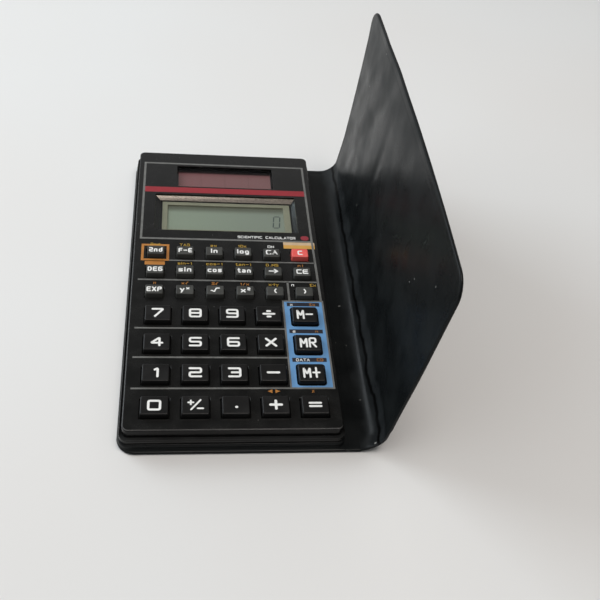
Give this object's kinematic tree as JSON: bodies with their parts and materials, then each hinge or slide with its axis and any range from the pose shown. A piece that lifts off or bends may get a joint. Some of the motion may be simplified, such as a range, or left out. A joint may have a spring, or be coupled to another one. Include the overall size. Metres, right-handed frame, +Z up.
{
  "type": "scientific calculator",
  "caption": "Solar pocket scientific calculator with pressable keys, sliding out of an open vinyl wallet whose spine folds up and whose flap shuts over the keys",
  "frame": {"origin": "on the table, under the middle of the calculator", "axes": "+Y away from the user along the calculator, +X to the right towards the wallet's spine and flap, +Z up"},
  "size_m": [0.0929, 0.1444, 0.081],
  "materials": {
    "case_plastic": "fine satin moulding",
    "face_print": "screen printed satin sheet",
    "clear_pane": "clear polished acrylic",
    "bezel_plastic": "satin moulding",
    "lcd_glass": "polarising film on glass",
    "foil": "dull reflector foil",
    "contact_rubber": "moulded silicone",
    "solar_glass": "amorphous silicon under glass",
    "lead_sleeve": "insulated lead",
    "board_laminate": "lacquered laminate",
    "chip_resin": "moulded resin",
    "component_body": "ceramic and resin",
    "screw_steel": "zinc plated",
    "vinyl": "soft welded vinyl with a low gloss",
    "key_grey": "satin moulding with printed legend",
    "key_red": "satin moulding with printed legend",
    "key_black": "satin moulding with printed legend"
  },
  "bodies": {
    "wallet": {"wallet_back": "vinyl", "wallet_rim": "vinyl"},
    "calculator": {"upper_case": "case_plastic", "rear_case": "case_plastic", "face_plate": "face_print", "display_window": "clear_pane", "solar_window": "clear_pane", "display_bezel": "bezel_plastic", "lcd_cell": "lcd_glass", "lcd_reflector": "foil", "lcd_connector": "contact_rubber", "solar_cell": "solar_glass", "solar_leads": "lead_sleeve", "main_board": "board_laminate", "processor_chip": "chip_resin", "board_components": "component_body", "contact_sheet": "contact_rubber", "board_screws": "screw_steel", "case_screws": "screw_steel"},
    "spine": {"wallet_spine": "vinyl"},
    "flap": {"wallet_flap": "vinyl"},
    "key_second": {"key_second": "key_grey"},
    "key_format": {"key_format": "key_grey"},
    "key_ln": {"key_ln": "key_grey"},
    "key_log": {"key_log": "key_grey"},
    "key_clear_all": {"key_clear_all": "key_grey"},
    "key_clear": {"key_clear": "key_red"},
    "key_degrees": {"key_degrees": "key_grey"},
    "key_sin": {"key_sin": "key_grey"},
    "key_cos": {"key_cos": "key_grey"},
    "key_tan": {"key_tan": "key_grey"},
    "key_arrow": {"key_arrow": "key_grey"},
    "key_clear_entry": {"key_clear_entry": "key_grey"},
    "key_exponent": {"key_exponent": "key_grey"},
    "key_power": {"key_power": "key_grey"},
    "key_root": {"key_root": "key_grey"},
    "key_square": {"key_square": "key_grey"},
    "key_open_bracket": {"key_open_bracket": "key_grey"},
    "key_close_bracket": {"key_close_bracket": "key_grey"},
    "key_7": {"key_7": "key_black"},
    "key_8": {"key_8": "key_black"},
    "key_9": {"key_9": "key_black"},
    "key_divide": {"key_divide": "key_black"},
    "key_memory_minus": {"key_memory_minus": "key_black"},
    "key_4": {"key_4": "key_black"},
    "key_5": {"key_5": "key_black"},
    "key_6": {"key_6": "key_black"},
    "key_multiply": {"key_multiply": "key_black"},
    "key_memory_recall": {"key_memory_recall": "key_black"},
    "key_1": {"key_1": "key_black"},
    "key_2": {"key_2": "key_black"},
    "key_3": {"key_3": "key_black"},
    "key_minus": {"key_minus": "key_black"},
    "key_memory_plus": {"key_memory_plus": "key_black"},
    "key_0": {"key_0": "key_black"},
    "key_sign": {"key_sign": "key_black"},
    "key_point": {"key_point": "key_black"},
    "key_plus": {"key_plus": "key_black"},
    "key_equals": {"key_equals": "key_black"}
  },
  "joints": [
    {"name": "calculator_slide", "type": "slide", "parent": "wallet", "child": "calculator", "axis": [0, 1, 0], "range_m": [0, 0.14]},
    {"name": "spine_fold", "type": "hinge", "parent": "wallet", "child": "spine", "pos_m": [0.0376, 0, 0.0006], "axis": [0, -1, 0], "range_deg": [0, 90]},
    {"name": "flap_fold", "type": "hinge", "parent": "spine", "child": "flap", "pos_m": [0.05, 0, 0.0006], "axis": [0, -1, 0], "range_deg": [-85.5, 3.5]},
    {"name": "key_second_press", "type": "slide", "parent": "calculator", "child": "key_second", "axis": [0, 0, -1], "range_m": [0, 0.0008], "stiffness_N_per_m": 600, "springref_m": -0.0005, "deforming": ["contact_sheet"]},
    {"name": "key_format_press", "type": "slide", "parent": "calculator", "child": "key_format", "axis": [0, 0, -1], "range_m": [0, 0.0008], "stiffness_N_per_m": 600, "springref_m": -0.0005, "deforming": ["contact_sheet"]},
    {"name": "key_ln_press", "type": "slide", "parent": "calculator", "child": "key_ln", "axis": [0, 0, -1], "range_m": [0, 0.0008], "stiffness_N_per_m": 600, "springref_m": -0.0005, "deforming": ["contact_sheet"]},
    {"name": "key_log_press", "type": "slide", "parent": "calculator", "child": "key_log", "axis": [0, 0, -1], "range_m": [0, 0.0008], "stiffness_N_per_m": 600, "springref_m": -0.0005, "deforming": ["contact_sheet"]},
    {"name": "key_clear_all_press", "type": "slide", "parent": "calculator", "child": "key_clear_all", "axis": [0, 0, -1], "range_m": [0, 0.0008], "stiffness_N_per_m": 600, "springref_m": -0.0005, "deforming": ["contact_sheet"]},
    {"name": "key_clear_press", "type": "slide", "parent": "calculator", "child": "key_clear", "axis": [0, 0, -1], "range_m": [0, 0.0008], "stiffness_N_per_m": 600, "springref_m": -0.0005, "deforming": ["contact_sheet"]},
    {"name": "key_degrees_press", "type": "slide", "parent": "calculator", "child": "key_degrees", "axis": [0, 0, -1], "range_m": [0, 0.0008], "stiffness_N_per_m": 600, "springref_m": -0.0005, "deforming": ["contact_sheet"]},
    {"name": "key_sin_press", "type": "slide", "parent": "calculator", "child": "key_sin", "axis": [0, 0, -1], "range_m": [0, 0.0008], "stiffness_N_per_m": 600, "springref_m": -0.0005, "deforming": ["contact_sheet"]},
    {"name": "key_cos_press", "type": "slide", "parent": "calculator", "child": "key_cos", "axis": [0, 0, -1], "range_m": [0, 0.0008], "stiffness_N_per_m": 600, "springref_m": -0.0005, "deforming": ["contact_sheet"]},
    {"name": "key_tan_press", "type": "slide", "parent": "calculator", "child": "key_tan", "axis": [0, 0, -1], "range_m": [0, 0.0008], "stiffness_N_per_m": 600, "springref_m": -0.0005, "deforming": ["contact_sheet"]},
    {"name": "key_arrow_press", "type": "slide", "parent": "calculator", "child": "key_arrow", "axis": [0, 0, -1], "range_m": [0, 0.0008], "stiffness_N_per_m": 600, "springref_m": -0.0005, "deforming": ["contact_sheet"]},
    {"name": "key_clear_entry_press", "type": "slide", "parent": "calculator", "child": "key_clear_entry", "axis": [0, 0, -1], "range_m": [0, 0.0008], "stiffness_N_per_m": 600, "springref_m": -0.0005, "deforming": ["contact_sheet"]},
    {"name": "key_exponent_press", "type": "slide", "parent": "calculator", "child": "key_exponent", "axis": [0, 0, -1], "range_m": [0, 0.0008], "stiffness_N_per_m": 600, "springref_m": -0.0005, "deforming": ["contact_sheet"]},
    {"name": "key_power_press", "type": "slide", "parent": "calculator", "child": "key_power", "axis": [0, 0, -1], "range_m": [0, 0.0008], "stiffness_N_per_m": 600, "springref_m": -0.0005, "deforming": ["contact_sheet"]},
    {"name": "key_root_press", "type": "slide", "parent": "calculator", "child": "key_root", "axis": [0, 0, -1], "range_m": [0, 0.0008], "stiffness_N_per_m": 600, "springref_m": -0.0005, "deforming": ["contact_sheet"]},
    {"name": "key_square_press", "type": "slide", "parent": "calculator", "child": "key_square", "axis": [0, 0, -1], "range_m": [0, 0.0008], "stiffness_N_per_m": 600, "springref_m": -0.0005, "deforming": ["contact_sheet"]},
    {"name": "key_open_bracket_press", "type": "slide", "parent": "calculator", "child": "key_open_bracket", "axis": [0, 0, -1], "range_m": [0, 0.0008], "stiffness_N_per_m": 600, "springref_m": -0.0005, "deforming": ["contact_sheet"]},
    {"name": "key_close_bracket_press", "type": "slide", "parent": "calculator", "child": "key_close_bracket", "axis": [0, 0, -1], "range_m": [0, 0.0008], "stiffness_N_per_m": 600, "springref_m": -0.0005, "deforming": ["contact_sheet"]},
    {"name": "key_7_press", "type": "slide", "parent": "calculator", "child": "key_7", "axis": [0, 0, -1], "range_m": [0, 0.0008], "stiffness_N_per_m": 600, "springref_m": -0.0005, "deforming": ["contact_sheet"]},
    {"name": "key_8_press", "type": "slide", "parent": "calculator", "child": "key_8", "axis": [0, 0, -1], "range_m": [0, 0.0008], "stiffness_N_per_m": 600, "springref_m": -0.0005, "deforming": ["contact_sheet"]},
    {"name": "key_9_press", "type": "slide", "parent": "calculator", "child": "key_9", "axis": [0, 0, -1], "range_m": [0, 0.0008], "stiffness_N_per_m": 600, "springref_m": -0.0005, "deforming": ["contact_sheet"]},
    {"name": "key_divide_press", "type": "slide", "parent": "calculator", "child": "key_divide", "axis": [0, 0, -1], "range_m": [0, 0.0008], "stiffness_N_per_m": 600, "springref_m": -0.0005, "deforming": ["contact_sheet"]},
    {"name": "key_memory_minus_press", "type": "slide", "parent": "calculator", "child": "key_memory_minus", "axis": [0, 0, -1], "range_m": [0, 0.0008], "stiffness_N_per_m": 600, "springref_m": -0.0005, "deforming": ["contact_sheet"]},
    {"name": "key_4_press", "type": "slide", "parent": "calculator", "child": "key_4", "axis": [0, 0, -1], "range_m": [0, 0.0008], "stiffness_N_per_m": 600, "springref_m": -0.0005, "deforming": ["contact_sheet"]},
    {"name": "key_5_press", "type": "slide", "parent": "calculator", "child": "key_5", "axis": [0, 0, -1], "range_m": [0, 0.0008], "stiffness_N_per_m": 600, "springref_m": -0.0005, "deforming": ["contact_sheet"]},
    {"name": "key_6_press", "type": "slide", "parent": "calculator", "child": "key_6", "axis": [0, 0, -1], "range_m": [0, 0.0008], "stiffness_N_per_m": 600, "springref_m": -0.0005, "deforming": ["contact_sheet"]},
    {"name": "key_multiply_press", "type": "slide", "parent": "calculator", "child": "key_multiply", "axis": [0, 0, -1], "range_m": [0, 0.0008], "stiffness_N_per_m": 600, "springref_m": -0.0005, "deforming": ["contact_sheet"]},
    {"name": "key_memory_recall_press", "type": "slide", "parent": "calculator", "child": "key_memory_recall", "axis": [0, 0, -1], "range_m": [0, 0.0008], "stiffness_N_per_m": 600, "springref_m": -0.0005, "deforming": ["contact_sheet"]},
    {"name": "key_1_press", "type": "slide", "parent": "calculator", "child": "key_1", "axis": [0, 0, -1], "range_m": [0, 0.0008], "stiffness_N_per_m": 600, "springref_m": -0.0005, "deforming": ["contact_sheet"]},
    {"name": "key_2_press", "type": "slide", "parent": "calculator", "child": "key_2", "axis": [0, 0, -1], "range_m": [0, 0.0008], "stiffness_N_per_m": 600, "springref_m": -0.0005, "deforming": ["contact_sheet"]},
    {"name": "key_3_press", "type": "slide", "parent": "calculator", "child": "key_3", "axis": [0, 0, -1], "range_m": [0, 0.0008], "stiffness_N_per_m": 600, "springref_m": -0.0005, "deforming": ["contact_sheet"]},
    {"name": "key_minus_press", "type": "slide", "parent": "calculator", "child": "key_minus", "axis": [0, 0, -1], "range_m": [0, 0.0008], "stiffness_N_per_m": 600, "springref_m": -0.0005, "deforming": ["contact_sheet"]},
    {"name": "key_memory_plus_press", "type": "slide", "parent": "calculator", "child": "key_memory_plus", "axis": [0, 0, -1], "range_m": [0, 0.0008], "stiffness_N_per_m": 600, "springref_m": -0.0005, "deforming": ["contact_sheet"]},
    {"name": "key_0_press", "type": "slide", "parent": "calculator", "child": "key_0", "axis": [0, 0, -1], "range_m": [0, 0.0008], "stiffness_N_per_m": 600, "springref_m": -0.0005, "deforming": ["contact_sheet"]},
    {"name": "key_sign_press", "type": "slide", "parent": "calculator", "child": "key_sign", "axis": [0, 0, -1], "range_m": [0, 0.0008], "stiffness_N_per_m": 600, "springref_m": -0.0005, "deforming": ["contact_sheet"]},
    {"name": "key_point_press", "type": "slide", "parent": "calculator", "child": "key_point", "axis": [0, 0, -1], "range_m": [0, 0.0008], "stiffness_N_per_m": 600, "springref_m": -0.0005, "deforming": ["contact_sheet"]},
    {"name": "key_plus_press", "type": "slide", "parent": "calculator", "child": "key_plus", "axis": [0, 0, -1], "range_m": [0, 0.0008], "stiffness_N_per_m": 600, "springref_m": -0.0005, "deforming": ["contact_sheet"]},
    {"name": "key_equals_press", "type": "slide", "parent": "calculator", "child": "key_equals", "axis": [0, 0, -1], "range_m": [0, 0.0008], "stiffness_N_per_m": 600, "springref_m": -0.0005, "deforming": ["contact_sheet"]}
  ]
}
